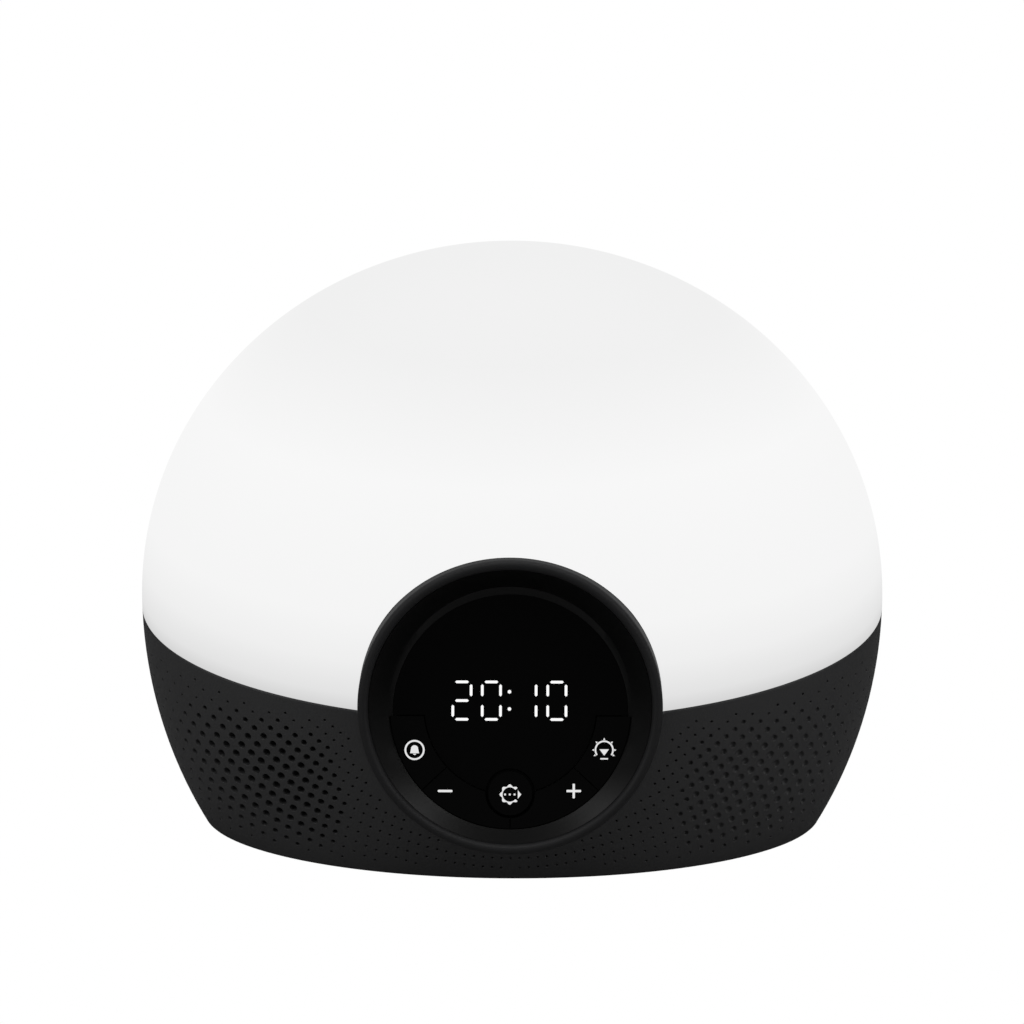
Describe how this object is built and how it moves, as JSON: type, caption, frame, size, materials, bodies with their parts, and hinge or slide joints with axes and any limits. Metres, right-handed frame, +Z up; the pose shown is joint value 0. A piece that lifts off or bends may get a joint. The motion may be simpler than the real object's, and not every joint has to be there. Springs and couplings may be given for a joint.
{
  "type": "sunrise alarm clock",
  "caption": "Egg-shaped sunrise alarm clock: a glowing opal dome on a dark perforated base, with a round display pod, touch-size keys and a loudspeaker behind the grille.",
  "frame": {"origin": "centre of the bounding box at table height", "axes": "+X to the right seen from the front, +Y to the rear, +Z up"},
  "size_m": [0.21, 0.1224, 0.1705],
  "materials": {
    "opal_polycarbonate": "fine satin",
    "charcoal_abs": "fine moulded texture",
    "grille_cloth": "woven",
    "foot_rubber": "matte",
    "white_abs": "white reflective",
    "aluminium_sheet": "brushed",
    "white_solder_mask": "solder mask",
    "led_phosphor": "phosphor",
    "bezel_abs": "satin",
    "smoked_acrylic": "polished",
    "module_black": "matte",
    "green_solder_mask": "solder mask",
    "switch_black": "matte",
    "guide_black": "matte",
    "chip_epoxy": "matte",
    "capacitor_sleeve": "sleeve",
    "ferrite": "sintered",
    "connector_nylon": "moulded",
    "jack_black": "moulded",
    "plated_brass": "plated",
    "zinc_plated_steel": "pressed",
    "gasket_foam": "foam",
    "surround_rubber": "moulded",
    "spider_cloth": "impregnated weave",
    "cone_paper": "pressed pulp",
    "coil_copper": "enamelled winding",
    "lead_pvc": "insulation",
    "ribbon_film": "film",
    "steel_screws": "zinc plated",
    "key_gloss": "polished",
    "plunger_nylon": "moulded"
  },
  "bodies": {
    "clock": {"amplifier_chip": "chip_epoxy", "base_housing": "charcoal_abs", "base_screws": "steel_screws", "bezel_screws": "steel_screws", "board_connectors": "connector_nylon", "bottom_cover": "charcoal_abs", "control_chip": "chip_epoxy", "diffuser_dome": "opal_polycarbonate", "digit_module": "module_black", "display_bezel": "bezel_abs", "display_board": "green_solder_mask", "display_lens": "smoked_acrylic", "display_ribbon": "ribbon_film", "display_screws": "steel_screws", "electrolytic_capacitors": "capacitor_sleeve", "grille_cloth": "grille_cloth", "heat_spreader": "aluminium_sheet", "jack_pin": "plated_brass", "key_guide": "guide_black", "key_lights": "led_phosphor", "led_board": "white_solder_mask", "led_board_screws": "steel_screws", "led_emitters": "led_phosphor", "light_leads": "lead_pvc", "light_tray": "white_abs", "main_board": "green_solder_mask", "main_board_screws": "steel_screws", "pod_ring": "bezel_abs", "power_inductor": "ferrite", "power_jack": "jack_black", "power_leads": "lead_pvc", "rubber_feet": "foot_rubber", "speaker_basket": "zinc_plated_steel", "speaker_gasket": "gasket_foam", "speaker_leads": "lead_pvc", "speaker_magnet": "ferrite", "speaker_screws": "steel_screws", "speaker_spider": "spider_cloth", "speaker_surround": "surround_rubber", "speaker_terminals": "chip_epoxy", "speaker_top_plate": "zinc_plated_steel", "speaker_yoke": "zinc_plated_steel", "switch_bodies": "switch_black", "tray_screws": "steel_screws"},
    "speaker_cone": {"speaker_cone": "cone_paper", "voice_coil": "coil_copper", "dust_cap": "cone_paper"},
    "alarm_key": {"alarm_key": "key_gloss", "alarm_plunger": "plunger_nylon"},
    "minus_key": {"minus_key": "key_gloss", "minus_plunger": "plunger_nylon"},
    "menu_key": {"menu_key": "key_gloss", "menu_plunger": "plunger_nylon"},
    "plus_key": {"plus_key": "key_gloss", "plus_plunger": "plunger_nylon"},
    "sunset_key": {"sunset_key": "key_gloss", "sunset_plunger": "plunger_nylon"}
  },
  "joints": [
    {"name": "cone_slide", "type": "slide", "parent": "clock", "child": "speaker_cone", "axis": [-0.4498, -0.8729, -0.1893], "range_m": [-0.0008, 0.0008], "stiffness_N_per_m": 800, "deforming": ["speaker_surround", "speaker_spider"]},
    {"name": "alarm_press", "type": "slide", "parent": "clock", "child": "alarm_key", "axis": [0, 0.9511, -0.309], "range_m": [0, 0.0005], "stiffness_N_per_m": 1500, "springref_m": -0.0003},
    {"name": "minus_press", "type": "slide", "parent": "clock", "child": "minus_key", "axis": [0, 0.9511, -0.309], "range_m": [0, 0.0005], "stiffness_N_per_m": 1500, "springref_m": -0.0003},
    {"name": "menu_press", "type": "slide", "parent": "clock", "child": "menu_key", "axis": [0, 0.9511, -0.309], "range_m": [0, 0.0005], "stiffness_N_per_m": 1500, "springref_m": -0.0003},
    {"name": "plus_press", "type": "slide", "parent": "clock", "child": "plus_key", "axis": [0, 0.9511, -0.309], "range_m": [0, 0.0005], "stiffness_N_per_m": 1500, "springref_m": -0.0003},
    {"name": "sunset_press", "type": "slide", "parent": "clock", "child": "sunset_key", "axis": [0, 0.9511, -0.309], "range_m": [0, 0.0005], "stiffness_N_per_m": 1500, "springref_m": -0.0003}
  ]
}
